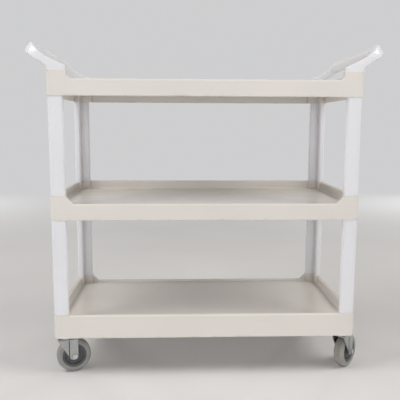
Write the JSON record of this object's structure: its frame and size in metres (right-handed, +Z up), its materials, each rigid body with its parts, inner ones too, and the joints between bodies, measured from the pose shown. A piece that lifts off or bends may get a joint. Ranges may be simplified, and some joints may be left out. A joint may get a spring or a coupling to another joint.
{
  "type": "food service trolley",
  "caption": "Moulded plastic service trolley with open tray shelves on corner uprights, a leaning push handle at each end and swivel castors underneath.",
  "frame": {"origin": "on the floor under the middle of the trolley", "axes": "+X along the length, to the right of someone at the front; +Y from the front to the back; +Z up"},
  "size_m": [1.0088, 0.463, 0.9623],
  "materials": {
    "moulded_plastic": "off-white, satin, finely grained",
    "zinc_plate": "pressed sheet steel, zinc plated",
    "hardware_steel": "plain bright steel",
    "wheel_plastic": "bluish grey, matte",
    "tyre_rubber": "grey, non-marking, matte"
  },
  "bodies": {
    "trolley_frame": {"top_shelf": "moulded_plastic", "middle_shelf": "moulded_plastic", "bottom_shelf": "moulded_plastic", "lower_upright_front_left": "moulded_plastic", "lower_upright_front_right": "moulded_plastic", "lower_upright_rear_left": "moulded_plastic", "lower_upright_rear_right": "moulded_plastic", "upper_upright_front_left": "moulded_plastic", "upper_upright_front_right": "moulded_plastic", "upper_upright_rear_left": "moulded_plastic", "upper_upright_rear_right": "moulded_plastic", "left_handle": "moulded_plastic", "right_handle": "moulded_plastic", "front_left_stem_socket": "hardware_steel", "front_left_castor_stem": "zinc_plate", "front_left_upper_race": "zinc_plate", "front_left_bearing_balls": "hardware_steel", "front_right_stem_socket": "hardware_steel", "front_right_castor_stem": "zinc_plate", "front_right_upper_race": "zinc_plate", "front_right_bearing_balls": "hardware_steel", "rear_left_stem_socket": "hardware_steel", "rear_left_castor_stem": "zinc_plate", "rear_left_upper_race": "zinc_plate", "rear_left_bearing_balls": "hardware_steel", "rear_right_stem_socket": "hardware_steel", "rear_right_castor_stem": "zinc_plate", "rear_right_upper_race": "zinc_plate", "rear_right_bearing_balls": "hardware_steel"},
    "front_left_swivel_fork": {"front_left_fork": "zinc_plate", "front_left_axle_bolt": "hardware_steel", "front_left_axle_nut": "hardware_steel", "front_left_axle_sleeve": "hardware_steel"},
    "front_left_wheel": {"front_left_wheel_core": "wheel_plastic", "front_left_tyre": "tyre_rubber"},
    "front_right_swivel_fork": {"front_right_fork": "zinc_plate", "front_right_axle_bolt": "hardware_steel", "front_right_axle_nut": "hardware_steel", "front_right_axle_sleeve": "hardware_steel"},
    "front_right_wheel": {"front_right_wheel_core": "wheel_plastic", "front_right_tyre": "tyre_rubber"},
    "rear_left_swivel_fork": {"rear_left_fork": "zinc_plate", "rear_left_axle_bolt": "hardware_steel", "rear_left_axle_nut": "hardware_steel", "rear_left_axle_sleeve": "hardware_steel"},
    "rear_left_wheel": {"rear_left_wheel_core": "wheel_plastic", "rear_left_tyre": "tyre_rubber"},
    "rear_right_swivel_fork": {"rear_right_fork": "zinc_plate", "rear_right_axle_bolt": "hardware_steel", "rear_right_axle_nut": "hardware_steel", "rear_right_axle_sleeve": "hardware_steel"},
    "rear_right_wheel": {"rear_right_wheel_core": "wheel_plastic", "rear_right_tyre": "tyre_rubber"}
  },
  "joints": [
    {"name": "front_left_swivel", "type": "hinge", "parent": "trolley_frame", "child": "front_left_swivel_fork", "pos_m": [-0.417, -0.185, 0.107], "axis": [0, 0, 1], "continuous": true},
    {"name": "front_left_wheel_spin", "type": "hinge", "parent": "front_left_swivel_fork", "child": "front_left_wheel", "pos_m": [-0.39336, -0.17686, 0.05], "axis": [-0.3256, 0.9455, 0], "continuous": true},
    {"name": "front_right_swivel", "type": "hinge", "parent": "trolley_frame", "child": "front_right_swivel_fork", "pos_m": [0.417, -0.185, 0.107], "axis": [0, 0, 1], "continuous": true},
    {"name": "front_right_wheel_spin", "type": "hinge", "parent": "front_right_swivel_fork", "child": "front_right_wheel", "pos_m": [0.43373, -0.16642, 0.05], "axis": [-0.7431, 0.6691, 0], "continuous": true},
    {"name": "rear_left_swivel", "type": "hinge", "parent": "trolley_frame", "child": "rear_left_swivel_fork", "pos_m": [-0.417, 0.185, 0.107], "axis": [0, 0, 1], "continuous": true},
    {"name": "rear_left_wheel_spin", "type": "hinge", "parent": "rear_left_swivel_fork", "child": "rear_left_wheel", "pos_m": [-0.39434, 0.17443, 0.05], "axis": [0.4226, 0.9063, 0], "continuous": true},
    {"name": "rear_right_swivel", "type": "hinge", "parent": "trolley_frame", "child": "rear_right_swivel_fork", "pos_m": [0.417, 0.185, 0.107], "axis": [0, 0, 1], "continuous": true},
    {"name": "rear_right_wheel_spin", "type": "hinge", "parent": "rear_right_swivel_fork", "child": "rear_right_wheel", "pos_m": [0.4045, 0.16335, 0.05], "axis": [0.866, -0.5, 0], "continuous": true}
  ]
}
